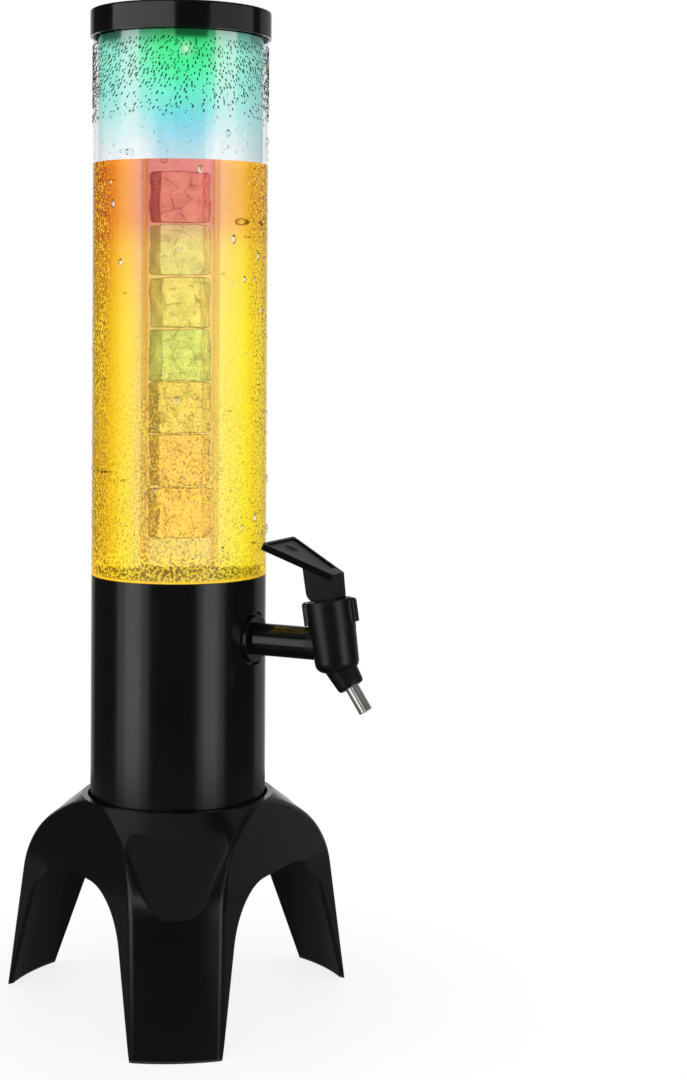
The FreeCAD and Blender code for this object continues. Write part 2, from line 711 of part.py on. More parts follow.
def spoutTube():
    bore = spoutRadius - spoutWall
    return lathe((bore, -spoutLength), (spoutRadius, -spoutLength), (spoutRadius, 0),
                 (spoutInsertRadius, 0), (spoutInsertRadius, spoutInsert), (bore, spoutInsert))


# ---- the pieces -------------------------------------------------------------------------------
base = tripodBase()
padSlab = Part.makeCylinder(2 * footRadius, footPadHeight)
save("tripod_base", base.cut(padSlab))
save("foot_pads", Part.makeCompound(base.common(padSlab).Solids))
save("base_screws", Part.makeCompound([turned(baseScrew(), a) for a in screwAngles]))
save("column_housing", columnHousing())
save("tube_seal", pipe(spigotRadius, tubeBore, tubeSealBottom, spigotBottom))
save("clear_tube", clearTube())
save("lid", lid())
save("lid_seal", ring(lidSealMiddle(), lidSealCord, lidSealLevel))
save("ice_tube", iceTube())
save("ice_tube_seal", ring(iceSealMiddle(), iceSealCord, iceSealLevel))
save("led_housing", ledHousing())
save("led_lens", ledLens())
save("led_board", pipe(boardRadius, 0, ledBoardBottom, ledBoardBottom + boardThickness))
save("led_chips", ledChips())
save("coin_cells", coinCells())
save("cell_holder", pipe(boardRadius, cellRadius + fitGap, cellBottom, switchBoardBottom))
save("switch_board", pipe(boardRadius, 0, switchBoardBottom, switchBottom))
save("led_switch", ledSwitch())
save("led_button", ledButton())
save("tap_body", tapBody())
save("outer_washer", washer(outerWasherRadius, washerFace))
save("inner_washer", washer(innerWasherRadius, bossInnerFace))
save("shank_nut", shankNut())
save("bonnet", placed(bonnet(), barrelPlace))
save("stem_seal", placed(pipe(sealDiscRadius, stemRadius + runningGap, neckTop, sealDiscTop),
                         barrelPlace))
save("valve_stem", placed(valveStem(), barrelPlace))
save("seat_plug", placed(seatPlug(), barrelPlace))
save("return_spring", placed(returnSpring(), barrelPlace))
save("lever", placed(lever(), barrelPlace))
save("lever_pin", placed(leverPin(), barrelPlace))
save("spout_collar", spoutCollar())
save("spout_tube", placed(spoutTube(), spoutPlace))

pinWorld = barrelPlace.multVec(V(0, 0, pinHeight))
stemWorld = barrelPlace.Rotation.multVec(UP)
print("lever pin at", pinWorld, "stem axis", stemWorld, "lift", camOffset * radians(leverTravel))
print("capacity, litres", pi * tubeBore ** 2 * (lidRim - floorTop) / 1e6)
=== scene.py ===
import json
import random
from math import cos, pi, radians, sin

import bmesh
import bpy
from mathutils import Matrix, Vector, noise


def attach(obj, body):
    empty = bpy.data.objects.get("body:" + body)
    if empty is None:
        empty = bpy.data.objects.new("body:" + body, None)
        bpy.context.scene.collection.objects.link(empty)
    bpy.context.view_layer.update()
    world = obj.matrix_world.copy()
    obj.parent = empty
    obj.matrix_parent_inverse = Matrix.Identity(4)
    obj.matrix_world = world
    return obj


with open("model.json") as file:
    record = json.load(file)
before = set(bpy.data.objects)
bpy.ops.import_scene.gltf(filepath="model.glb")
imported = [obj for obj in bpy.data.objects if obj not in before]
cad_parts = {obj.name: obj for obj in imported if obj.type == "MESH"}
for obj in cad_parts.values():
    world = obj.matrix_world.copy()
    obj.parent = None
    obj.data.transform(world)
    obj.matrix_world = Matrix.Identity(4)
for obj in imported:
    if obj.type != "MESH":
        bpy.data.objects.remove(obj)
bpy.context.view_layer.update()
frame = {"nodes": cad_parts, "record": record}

nodes = frame["nodes"]
print("frame loaded:", len(nodes), "nodes")

frontSide = Vector((-0.866, -0.5, 0))    # level, towards the side the tower is mostly seen from
tapSide = Vector((0.5, -0.866, 0))       # level, a quarter turn on, where the drink is yellower
drinkTop = 0.508
black = (0.0, 0.0, 0.0)


# small tools for materials

def newMaterial(name):
    material = bpy.data.materials.new(name)
    material.use_nodes = True
    tree = material.node_tree
    return material, tree, tree.nodes["Principled BSDF"]


def feed(tree, socket, value):
    if isinstance(value, bpy.types.NodeSocket):
        tree.links.new(value, socket)
    elif socket.type == "RGBA":
        socket.default_value = (*value[:3], 1)
    else:
        socket.default_value = value


def add(tree, kind, settings=None, **inputs):
    # an input is given by its name, or as i0, i1 and so on by its place
    made = tree.nodes.new("ShaderNode" + kind)
    for name, value in (settings or {}).items():
        setattr(made, name, value)
    for name, value in inputs.items():
        place = int(name[1:]) if name[1:].isdigit() else name.replace("_", " ")
        feed(tree, made.inputs[place], value)
    return made


def give(tree, shader, **inputs):
    for name, value in inputs.items():
        feed(tree, shader.inputs[name.replace("_", " ")], value)


def calc(tree, operation, a, b=None, c=None, clamp=False):
    inputs = {f"i{i}": v for i, v in enumerate((a, b, c)) if v is not None}
    return add(tree, "Math", {"operation": operation, "use_clamp": clamp}, **inputs).outputs[0]


def times(tree, a, b):
    return calc(tree, "MULTIPLY", a, b)


def minus(tree, a, b):
    return calc(tree, "SUBTRACT", a, b)


def larger(tree, a, b):
    return calc(tree, "MAXIMUM", a, b)


def unsigned(tree, a):
    return calc(tree, "ABSOLUTE", a)


def reachOf(tree, a, b, weight=1.0):
    # the length of (a, b), with b counted less where its weight is under 1
    squares = calc(tree, "ADD", times(tree, a, a), times(tree, times(tree, b, b), weight))
    return calc(tree, "SQRT", squares)


def smooth(tree, value, low, high, start=0.0, end=1.0):
    made = add(tree, "MapRange", {"interpolation_type": "SMOOTHSTEP"},
               i0=value, i1=low, i2=high, i3=start, i4=end)
    return made.outputs[0]


def ramp(tree, value, stops):
    made = add(tree, "ValToRGB", i0=value)
    band = made.color_ramp
    while len(band.elements) > 1:
        band.elements.remove(band.elements[-1])
    for i, (place, colour) in enumerate(stops):
        element = band.elements[0] if i == 0 else band.elements.new(place)
        element.position = place
        element.color = (*colour, 1)
    return made.outputs[0]


def mixColours(tree, share, a, b, mode="MIX"):
    made = add(tree, "Mix", {"data_type": "RGBA", "blend_type": mode}, i0=share, i6=a, i7=b)
    return made.outputs[2]


def mixNumbers(tree, share, a, b):
    return add(tree, "Mix", {"data_type": "FLOAT"}, i0=share, i2=a, i3=b).outputs[0]


def placeOf(tree):
    return add(tree, "TexCoord").outputs["Object"]


def axisOf(tree, vector, axis):
    return add(tree, "SeparateXYZ", Vector=vector).outputs[axis]


def heightOf(tree):
    return axisOf(tree, placeOf(tree), 2)


def along(tree, vector, towards):
    made = add(tree, "VectorMath", {"operation": "DOT_PRODUCT"}, i0=vector, i1=tuple(towards))
    return made.outputs["Value"]


def sideOf(tree):
    # metres from the tower's axis, towards the tap's side
    return along(tree, placeOf(tree), tapSide)


def radiusOf(tree, vector):
    return reachOf(tree, axisOf(tree, vector, 0), axisOf(tree, vector, 1))


def spots(tree, scale, detail=2.0, stretch=None):
    place = placeOf(tree)
    if stretch:
        place = add(tree, "VectorMath", {"operation": "MULTIPLY"}, i0=place, i1=stretch).outputs[0]
    return add(tree, "TexNoise", Vector=place, Scale=scale, Detail=detail).outputs["Fac"]


def facingOf(tree):
    return add(tree, "LayerWeight", Blend=0.5).outputs["Facing"]


def giveBump(tree, shader, height, strength, depth):
    give(tree, shader, Normal=add(tree, "Bump", Height=height, Strength=strength, Distance=depth).outputs[0])


# the black mouldings
blackGloss = {"colour": (0.0022, 0.0022, 0.0023), "lighter": (0.0036, 0.0036, 0.0038), "roughness": 0.11,
              "roughnessSpread": 0.03, "cloudScale": 26.0, "cloudDetail": 3.0, "cloudRange": (0.3, 0.7),
              "peelScale": 900.0, "peelDepth": 0.00002, "peelStrength": 0.12, "specular": 0.5,
              "polishFade": 0.003, "upright": (0.2, 0.7)}
blackSofter = {"lever": {"roughness": 0.3, "sideways": 0.13},
               "lever_pin": {"roughness": 0.3, "sideways": 0.13},
               "tap_body": {"roughness": 0.3, "specular": 0.42, "polishedTo": -0.089, "polish": 0.45},
               "column_housing": {"roughness": 0.16}, "tripod_base": {"roughness": 0.2, "specular": 0.42}}
tapGloss = {"roughness": 0.3, "specular": 0.4}


def makeBlackGloss(name, s):
    material, tree, shader = newMaterial(name)
    clouds = spots(tree, s["cloudScale"], s["cloudDetail"])
    rough = smooth(tree, clouds, *s["cloudRange"], s["roughness"], s["roughness"] + s["roughnessSpread"])
    if "polishedTo" in s:                # the tap's inlet is shinier than its barrel
        outwards = axisOf(tree, placeOf(tree), 1)
        polish = smooth(tree, outwards, s["polishedTo"] - s["polishFade"], s["polishedTo"], 1.0, s["polish"])
        rough = times(tree, rough, polish)
    give(tree, shader, Base_Color=mixColours(tree, clouds, s["colour"], s["lighter"]), Roughness=rough)
    if "sideways" in s:                  # faces that look sideways shine less than those that look up
        upward = axisOf(tree, add(tree, "NewGeometry").outputs["Normal"], 2)
        shine = smooth(tree, upward, *s["upright"], s["sideways"], s["specular"])
        give(tree, shader, Specular_IOR_Level=shine)
    else:
        give(tree, shader, Specular_IOR_Level=s["specular"])
    giveBump(tree, shader, spots(tree, s["peelScale"]), s["peelStrength"], s["peelDepth"])
    return material


# plain finishes of the small pieces
plainFinishes = {
    "silicone": {"colour": (0.62, 0.63, 0.64), "lighter": (0.72, 0.73, 0.74), "roughness": 0.5},
    "black_rubber": {"colour": (0.015, 0.015, 0.015), "lighter": (0.03, 0.03, 0.03), "roughness": 0.75},
    "pcb": {"colour": (0.012, 0.09, 0.035), "lighter": (0.02, 0.13, 0.05), "roughness": 0.35},
    "grey_plastic": {"colour": (0.05, 0.05, 0.052), "lighter": (0.07, 0.07, 0.072), "roughness": 0.5},
    "cell_steel": {"colour": (0.55, 0.55, 0.53), "lighter": (0.68, 0.68, 0.66), "roughness": 0.3, "metal": 1},
    "screw_steel": {"colour": (0.5, 0.5, 0.5), "lighter": (0.62, 0.62, 0.62), "roughness": 0.35, "metal": 1},
    "stainless": {"colour": (0.72, 0.70, 0.67), "lighter": (0.86, 0.84, 0.81), "roughness": 0.2, "metal": 1,
                  "stretch": (0.2, 0.2, 0.2), "paintedSheen": 0.07},
}
plainGrain = {"scale": 300.0, "detail": 3.0, "range": (0.3, 0.7), "smoothest": 0.85, "roughest": 1.15,
              "bump": 0.1, "depth": 0.00003}


def makePlain(name, s, g):
    material, tree, shader = newMaterial(name)
    grain = spots(tree, g["scale"], g["detail"], s.get("stretch"))
    colour = mixColours(tree, grain, s["colour"], s["lighter"])
    rough = smooth(tree, grain, *g["range"], s["roughness"] * g["smoothest"], s["roughness"] * g["roughest"])
    give(tree, shader, Base_Color=colour, Roughness=rough, Metallic=s.get("metal", 0))
    # the stainless glows faintly in its own grain colour: a painted sheen
    if "paintedSheen" in s:
        give(tree, shader, Emission_Color=colour, Emission_Strength=s["paintedSheen"])
    giveBump(tree, shader, grain, g["bump"], g["depth"])
    return material


# the reservoir's wall: almost unseen in front of the drink, brighter at its edges above it
clearTube = {"colour": (0.90, 0.93, 0.93), "brightest": 1.05, "roughness": 0.03, "waveScale": 18.0,
             "facingDry": 0.012, "facingWet": 0.002, "facingFade": 0.05, "edgeDry": 0.45, "edgeWet": 0.08,
             "edgeFade": 0.004, "edgePower": 3.0, "bump": 0.05, "depth": 0.001}


def makeClearTube(s):
    material, tree, shader = newMaterial("clearTubeWall")
    waves = spots(tree, s["waveScale"], 1.0)
    brighter = tuple(min(1, s["brightest"] * c) for c in s["colour"])
    edge = calc(tree, "POWER", facingOf(tree), s["edgePower"])
    height = heightOf(tree)
    fade = s["edgeFade"]
    middleWall = smooth(tree, height, drinkTop - s["facingFade"], drinkTop, s["facingWet"], s["facingDry"])
    edgeWall = smooth(tree, height, drinkTop - fade, drinkTop + fade, s["edgeWet"], s["edgeDry"])
    give(tree, shader, Base_Color=mixColours(tree, waves, s["colour"], brighter), Metallic=1.0,
         Roughness=s["roughness"], Alpha=smooth(tree, edge, 0.0, 1.0, middleWall, edgeWall))
    giveBump(tree, shader, waves, s["bump"], s["depth"])
    return material


iceTube = {"radius": 0.018, "wall": 0.002, "iorWet": 1.12, "iorInAir": 1.03, "glowBottom": 0.512,
           "glowTop": 0.576, "facing": (0.25, 0.95), "paintedSideShade": (0.72, 0.98),
           "glow": [(0.0, (0.72, 0.9, 0.95)), (0.3, (0.5, 0.88, 0.97)), (0.55, (0.30, 0.9, 0.8)),
                    (0.8, (0.14, 0.92, 0.55)), (1.0, (0.1, 0.9, 0.42))],
           "wetMiddle": (1.0, 0.99, 0.97), "wetEdge": (0.82, 0.66, 0.5)}


def makeIceTube(s):
    material, tree, shader = newMaterial("iceTubeWall")
    under = calc(tree, "LESS_THAN", axisOf(tree, add(tree, "NewGeometry").outputs["Position"], 2), drinkTop)
    # above the drink the tube's face is tinted green, greener towards the lid: painted light from the lamp in
    # the lid
    glow = ramp(tree, smooth(tree, heightOf(tree), s["glowBottom"], s["glowTop"]), s["glow"])
    soft = smooth(tree, facingOf(tree), *s["facing"], 1.0, 0.0)
    inAir = mixColours(tree, soft, (1.0, 1.0, 1.0), glow)
    # in the drink the tube turns darker and browner towards its sides as seen from the front: painted shade
    low, high = s["paintedSideShade"]
    paintedSideShade = smooth(tree, unsigned(tree, sideOf(tree)), s["radius"] * low, s["radius"] * high)
    inDrink = mixColours(tree, paintedSideShade, s["wetMiddle"], s["wetEdge"])
    give(tree, shader, Base_Color=mixColours(tree, under, inAir, inDrink), Transmission_Weight=1.0,
         Roughness=0.0, IOR=mixNumbers(tree, under, s["iorInAir"], s["iorWet"]))
    return material


lensGlow = {"centre": (0.1, 0.9, 0.36), "rim": (0.02, 0.25, 0.09), "strength": 0.9, "radius": 0.0156,
            "roughness": 0.4, "frostScale": 1500.0, "bump": 0.15, "depth": 0.00003}
chipGlow = {"strength": 2.0}


def makeLens(name, s):
    material, tree, shader = newMaterial(name)
    outwards = smooth(tree, radiusOf(tree, placeOf(tree)), 0.0, s["radius"])
    colour = mixColours(tree, outwards, s["centre"], s["rim"])
    give(tree, shader, Base_Color=colour, Emission_Color=colour, Emission_Strength=s["strength"],
         Roughness=s["roughness"])
    giveBump(tree, shader, spots(tree, s["frostScale"]), s["bump"], s["depth"])
    return material


def dressNodes():
    finishes = {slot: makePlain(slot + "Finish", s, plainGrain) for slot, s in plainFinishes.items()}
    finishes["black_abs"] = makeBlackGloss("blackMoulding", blackGloss)
    finishes["tap_black"] = makeBlackGloss("tapMoulding", {**blackGloss, **tapGloss})
    finishes["lens_pc"] = makeLens("frostedLens", lensGlow)
    finishes["led"] = makeLens("lightChip", {**lensGlow, **chipGlow})
    clear = {"clear_tube": makeClearTube(clearTube), "ice_tube": makeIceTube(iceTube)}
    for part in frame["record"]["subparts"]:
        name = part["node"]
        for place in nodes[name].material_slots:
            place.material = clear.get(name) or finishes[part["material_slot"]]
    for name, change in blackSofter.items():
        nodes[name].material_slots[0].material = makeBlackGloss(name + "Finish", {**blackGloss, **change})
    for name in clear:
        nodes[name].visible_shadow = False


dressNodes()
print("nodes dressed")


# small tools for meshes

def putInScene(name, data):
    made = bpy.data.objects.new(name, data)
    bpy.context.scene.collection.objects.link(made)
    return made


def newMesh(name, points, faces):
    mesh = bpy.data.meshes.new(name)
    mesh.from_pydata([tuple(p) for p in points], [], faces)
    return mesh


def newPiece(name, mesh, material, body):
    # everything made here is clear or glows, so nothing casts a shadow
    mesh.materials.append(material)
    mesh.polygons.foreach_set("use_smooth", [True] * len(mesh.polygons))
    piece = putInScene(name, mesh)
    piece.visible_shadow = False
    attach(piece, body)
    return piece


def latheMesh(name, outline, sides):
    points, faces = [], []
    count = len(outline)
    for i in range(sides):
        a = 2 * pi * i / sides
        points += [(r * cos(a), r * sin(a), z) for r, z in outline]
        here, there = i * count, (i + 1) % sides * count
        faces += [(here + k, there + k, there + k + 1, here + k + 1) for k in range(count - 1)]
    return newMesh(name, points, faces)


# the drink: its colours go across it from side to side as seen from the front, darker and more orange at its
# sides, partly from the longer path through it and partly as painted shade, with two painted highlight bands,
# and it turns redder towards its top; it also glows a little in its own colour: painted light
drink = {"radius": 0.05285, "innerRadius": 0.0499, "bottom": 0.2052, "columnTop": 0.2602, "step": 0.0005,
         "lift": 0.0001, "rows": 24, "sides": 192, "crease": 40, "ior": 1.33, "specular": 0.1,
         "glow": 0.1, "glowAtFoot": 0.2, "footLevels": (0.286, 0.256),
         "across": [(0.0, (0.46, 0.20, 0.002)), (0.09, (0.64, 0.28, 0.002)), (0.13, (0.92, 0.50, 0.002)),
                    (0.2, (0.98, 0.78, 0.01)), (0.25, (0.94, 0.70, 0.03)), (0.29, (0.74, 0.54, 0.16)),
                    (0.7, (0.84, 0.66, 0.2)), (0.74, (0.97, 0.86, 0.1)), (0.86, (0.98, 0.86, 0.008)),
                    (0.91, (0.88, 0.66, 0.004)), (1.0, (0.74, 0.52, 0.006))],
         "warmFoot": 0.26, "warmFrom": 0.58}
# what the drink's colour is multiplied by near its top: at its sides, beside the ice tube and before it
warmSides = {"turn": 0.75, "left": (0.84, 0.32, 1.0), "right": (0.80, 0.60, 1.0)}
warmStrips = {"turn": 0.3, "left": (1.04, 0.60, 2.0), "right": (1.0, 0.84, 1.5), "within": (0.82, 0.66)}
warmCore = {"levels": (0.452, 0.478), "low": (1.0, 0.92, 1.1), "high": (0.84, 0.38, 1.2),
            "within": (0.48, 0.38)}


def makeDrink(s):
    material, tree, shader = newMaterial("goldenDrink")
    level = heightOf(tree)
    side = calc(tree, "DIVIDE", sideOf(tree), s["radius"])
    away = unsigned(tree, side)
    # darker, more orange sides: painted shade over the longer path through the drink; the two brightest
    # bands: painted highlights
    across = ramp(tree, calc(tree, "MULTIPLY_ADD", side, 0.5, 0.5), s["across"])
    warm, strip = (mixColours(tree, smooth(tree, side, -w["turn"], w["turn"]), w["left"], w["right"])
                   for w in (warmSides, warmStrips))
    warm = mixColours(tree, smooth(tree, away, *warmStrips["within"]), warm, strip)
    core = mixColours(tree, smooth(tree, level, *warmCore["levels"]), warmCore["low"], warmCore["high"])
    warm = mixColours(tree, smooth(tree, away, *warmCore["within"]), warm, core)
    high = smooth(tree, smooth(tree, level, s["warmFoot"], drinkTop), s["warmFrom"], 1.0)
    colour = mixColours(tree, high, across, mixColours(tree, 1.0, across, warm, "MULTIPLY"))
    # the drink glows a little in its own colour, three times as much near its foot: painted light
    foot = smooth(tree, level, *s["footLevels"])
    glow = calc(tree, "MULTIPLY_ADD", foot, s["glowAtFoot"], s["glow"])
    give(tree, shader, Base_Color=colour, Emission_Color=mixColours(tree, glow, black, colour),
         Emission_Strength=1.0, Transmission_Weight=1.0, Roughness=0.0, IOR=s["ior"],
         Specular_IOR_Level=s["specular"])
    return material


def buildDrink(s):
    # narrower inside the column, and out into the clear tube's wall above it
    shown, hidden, floor, top, step = s["radius"], s["innerRadius"], s["bottom"], s["columnTop"], s["step"]
    outline = [(0.0, floor), (hidden - step, floor), (hidden, floor + step), (hidden, top),
               (shown - step, top + s["lift"]), (shown, top + step)]
    for i in range(1, s["rows"]):
        outline.append((shown, top + step + (drinkTop - 2 * step - top) * i / s["rows"]))
    outline += [(shown, drinkTop), (0.0, drinkTop)]
    piece = newPiece("beer", latheMesh("beer", outline, s["sides"]), makeDrink(s), "root")
    work = bmesh.new()
    work.from_mesh(piece.data)
    bmesh.ops.remove_doubles(work, verts=work.verts, dist=1e-6)
    bmesh.ops.recalc_face_normals(work, faces=work.faces)
    for edge in work.edges:
        edge.smooth = edge.calc_face_angle(0) < radians(s["crease"])
    work.to_mesh(piece.data)
    work.free()


buildDrink(drink)


# fizz and fine droplets over the drink, thick at the tube's sides and foot
fizz = {"radius": 0.05304, "bottom": 0.2604, "top": 0.5078, "sides": 128, "grain": 640.0, "clusters": 60.0,
        "dark": (0.17, 0.075, 0.001), "light": (0.98, 0.74, 0.02), "lipHighlight": (0.9, 0.5, 0.02),
        "edges": (0.7, 0.88), "low": (0.45, 0.29, 0.0, 0.55), "middleShift": 0.05, "middle": (0.5, 0.36),
        "middleLow": (0.44, 0.34, 0.0, 0.62), "foot": (0.292, 0.268), "clusterShare": (0.3, 0.6, 0.55, 1.0),
        "least": 0.08, "dots": (0.025, 0.13, 0.0, 0.72), "lipBand": (0.0022, 0.0006), "lipGlow": 0.25,
        "lipCover": 0.8, "footCover": 0.42, "roughness": 0.5, "specular": 0.1}


def makeFizz(s):
    material, tree, shader = newMaterial("fizz")
    side = calc(tree, "DIVIDE", sideOf(tree), s["radius"])
    level = heightOf(tree)
    edges = smooth(tree, unsigned(tree, side), *s["edges"])
    middle = smooth(tree, unsigned(tree, calc(tree, "ADD", side, s["middleShift"])), *s["middle"])
    middle = times(tree, middle, smooth(tree, level, *s["middleLow"]))
    foot = smooth(tree, level, *s["foot"])
    where = larger(tree, larger(tree, edges, smooth(tree, level, *s["low"])), larger(tree, middle, foot))
    clusters = smooth(tree, spots(tree, s["clusters"]), *s["clusterShare"])
    dense = larger(tree, times(tree, where, clusters), s["least"])
    grain = spots(tree, s["grain"], 1.0)
    dots = smooth(tree, unsigned(tree, minus(tree, grain, 0.5)), *s["dots"])
    # a thin golden line along the column's top edge, glowing a little: a painted highlight
    lipHighlight = smooth(tree, level, *(s["bottom"] + h for h in s["lipBand"]))
    speckled = mixColours(tree, calc(tree, "GREATER_THAN", grain, 0.5), s["dark"], s["light"])
    colour = mixColours(tree, lipHighlight, speckled, s["lipHighlight"])
    cover = larger(tree, times(tree, dots, dense), times(tree, lipHighlight, s["lipCover"]))
    cover = larger(tree, cover, times(tree, foot, s["footCover"]))
    outside = minus(tree, 1.0, add(tree, "NewGeometry").outputs["Backfacing"])
    glow = mixColours(tree, times(tree, lipHighlight, s["lipGlow"]), black, colour)
    give(tree, shader, Base_Color=colour, Emission_Color=glow, Emission_Strength=1.0,
         Roughness=s["roughness"], Specular_IOR_Level=s["specular"], Alpha=times(tree, cover, outside))
    return material


def buildFilm(name, s, material):
    outline = [(s["radius"], s["bottom"]), (s["radius"], s["top"])]
    newPiece(name, latheMesh(name, outline, s["sides"]), material, "root")


buildFilm("fizz", fizz, makeFizz(fizz))
print("drink filled")


# ice in the ice tube
iceCubes = {"top": 0.5035, "pitch": 0.0316, "height": 0.0312, "width": 0.0268, "depth": 0.0148, "seed": 7,
            "round": 0.0022, "waviness": 0.0011, "waveScale": 130, "waveShift": 3.1, "turn": -32.0,
            "turnSwing": 4, "leanSwing": 2.5, "narrowest": 0.94, "thinnest": 0.9, "shortest": 0.94,
            "gap": 0.0004, "cuts": 3, "corner": 1, "roundSteps": 4, "roundness": 0.6,
            # each block's front and its darker sides, from the top one down; the darker sides are painted
            # shade
            "tints": [((0.72, 0.48, 0.44), (0.56, 0.10, 0.12)), ((0.68, 0.78, 0.56), (0.66, 0.52, 0.26)),
                      ((0.76, 0.80, 0.46), (0.58, 0.48, 0.20)), ((0.62, 0.82, 0.50), (0.54, 0.58, 0.26)),
                      ((0.76, 0.72, 0.38), (0.60, 0.48, 0.18)), ((0.86, 0.66, 0.36), (0.68, 0.48, 0.18)),
                      ((0.92, 0.70, 0.36), (0.70, 0.50, 0.18))]}
iceLook = {"cloudScale": 150.0, "cloudDetail": 3.0, "cloudRange": (0.38, 0.66), "cloudShade": 0.75,
           "sideBand": (0.008, 0.0125), "edge": (0.2, 0.6), "lineShade": 0.2, "crackScale": 85.0,
           "crackWidth": 0.05, "crackShare": (0.42, 0.58, 0.15, 0.75), "dim": 0.78, "transmission": 0.8,
           "roughness": 0.02, "ior": 1.1, "bump": 0.6, "depth": 0.0012}


def makeIce(name, front, aside, s):
    material, tree, shader = newMaterial(name)
    cloud = spots(tree, s["cloudScale"], s["cloudDetail"])
    # seen from the front, the block's sides take the darker side tint: painted shade
    body = mixColours(tree, smooth(tree, unsigned(tree, sideOf(tree)), *s["sideBand"]), front, aside)
    shaded = tuple(s["cloudShade"] * c for c in front)
    body = mixColours(tree, smooth(tree, cloud, *s["cloudRange"]), body, shaded)
    line = tuple(s["lineShade"] * c for c in aside)
    cracks = add(tree, "TexVoronoi", {"feature": "DISTANCE_TO_EDGE"}, Scale=s["crackScale"],
                 Vector=placeOf(tree)).outputs["Distance"]
    crackHere = times(tree, smooth(tree, cracks, s["crackWidth"], 0.0), smooth(tree, cloud, *s["crackShare"]))
    # dark lines at the block's silhouette, by facing, are painted shade; the cracks are the ice's own
    edge = larger(tree, smooth(tree, facingOf(tree), *s["edge"]), crackHere)
    # the ice glows at about a fifth of its tint, in the dark line colour at its edges and cracks: painted
    # light
    glow = mixColours(tree, edge, mixColours(tree, s["dim"], body, black), line)
    give(tree, shader, Base_Color=mixColours(tree, edge, body, line), Emission_Color=glow,
         Emission_Strength=1.0, Transmission_Weight=s["transmission"], Roughness=s["roughness"], IOR=s["ior"])
    giveBump(tree, shader, calc(tree, "ADD", cracks, cloud), s["bump"], s["depth"])
    return material


def buildIce(s):
    draw = random.Random(s["seed"])
    limit = iceTube["radius"] - iceTube["wall"] - s["gap"]
    for i, tint in enumerate(s["tints"]):
        work = bmesh.new()
        bmesh.ops.create_cube(work, size=1.0)
        wide = s["width"] * draw.uniform(s["narrowest"], 1.0)
        deep = s["depth"] * draw.uniform(s["thinnest"], 1.0)
        tall = s["height"] * draw.uniform(s["shortest"], 1.0)
        bmesh.ops.scale(work, vec=(wide, deep, tall), verts=work.verts)
        bmesh.ops.subdivide_edges(work, edges=work.edges, cuts=s["cuts"], use_grid_fill=True)
        corners = [e for e in work.edges if e.calc_face_angle(0) > s["corner"]]
        bmesh.ops.bevel(work, geom=corners, offset=s["round"], segments=s["roundSteps"],
                        profile=s["roundness"], affect="EDGES")
        bmesh.ops.subdivide_edges(work, edges=work.edges, cuts=1, use_grid_fill=True)
        shift = Vector((0, 0, s["waveShift"] * i))
        for v in work.verts:
            v.co += v.normal * s["waviness"] * noise.noise(v.co * s["waveScale"] + shift)
        turn = Matrix.Rotation(radians(s["turn"] + draw.uniform(-s["turnSwing"], s["turnSwing"])), 4, "Z")
        lean = Matrix.Rotation(radians(draw.uniform(-s["leanSwing"], s["leanSwing"])), 4, "X")
        middle = Matrix.Translation((0, 0, s["top"] - s["pitch"] * (i + 0.5)))
        bmesh.ops.transform(work, matrix=middle @ turn @ lean, verts=work.verts)
        reach = max(Vector(v.co[:2]).length for v in work.verts)
        if reach > limit:
            bmesh.ops.scale(work, vec=(limit / reach, limit / reach, 1), verts=work.verts)
        name = f"iceCube{i + 1}"
        mesh = bpy.data.meshes.new(name)
        work.to_mesh(mesh)
        work.free()
        newPiece(name, mesh, makeIce(f"ice{i + 1}", *tint, iceLook), "ice_tube")


buildIce(iceCubes)
print("ice stacked")


# condensation above the drink, its green light from the lamp in the lid painted on as a glow of its own
mist = {"radius": 0.0498, "bottom": 0.5085, "top": 0.5836, "sides": 128, "roughness": 0.6,
        "aside": [(0.0, (0.80, 0.86, 0.88)), (0.1, (0.70, 0.85, 0.88)), (0.32, (0.46, 0.84, 0.84)),
                  (0.56, (0.33, 0.86, 0.74)), (0.86, (0.30, 0.86, 0.66)), (1.0, (0.05, 0.24, 0.16))],
        "centre": [(0.0, (0.58, 0.66, 0.80)), (0.1, (0.44, 0.68, 0.80)), (0.32, (0.22, 0.76, 0.88)),
                   (0.54, (0.16, 0.92, 0.66)), (0.68, (0.09, 0.95, 0.42)), (0.88, (0.05, 0.95, 0.27)),
                   (1.0, (0.01, 0.22, 0.06))],
        "light": 0.578, "lightBand": (0.036, 0.008), "lightTall": 0.12,
        # painted upright highlight strips, and patches of painted shade under the lid: middle and half width,
        # in shares of the radius
        "strips": ((-0.595, 0.105), (0.535, 0.125)), "stripFade": 0.02, "stripShare": 0.32,
        "stripColour": (0.95, 1.0, 1.0),
        "shades": ((-0.82, 0.12), (0.125, 0.19), (0.9, 0.07)), "shadeFade": 0.03, "shadeShare": 0.78,
        "shadeFrom": 0.5775, "shadeDeep": 0.003, "shadeColour": (0.006, 0.045, 0.02),
        "far": (0.62, 0.98, 0.0, 0.45), "farColour": (0.22, 0.40, 0.42),
        "coverLow": (0.05, 0.6, 0.4, 0.92), "coverFar": (0.55, 0.9, 0.0, 0.8), "blotchScale": 70.0,
        "blotchDetail": 3.0, "blotch": (0.25, 0.75, 0.85, 1.08)}
# a small painted star of light where the lamp in the lid shows through the wet wall
star = {"side": 0.003, "level": 0.572, "halo": (0.0075, 0.0005, 0.0, 0.6), "haloColour": (0.42, 1.0, 0.6),
        "core": (0.0019, 0.0004), "arms": (0.0008, 0.0001), "armReach": (0.0058, 0.001), "share": 0.85,
        "colour": (0.85, 1.0, 0.86)}


def bandOf(tree, share, middle, half, fade, start=0.0, end=1.0):
    off = unsigned(tree, minus(tree, share, middle))
    return smooth(tree, off, half + fade, half - fade, start, end)


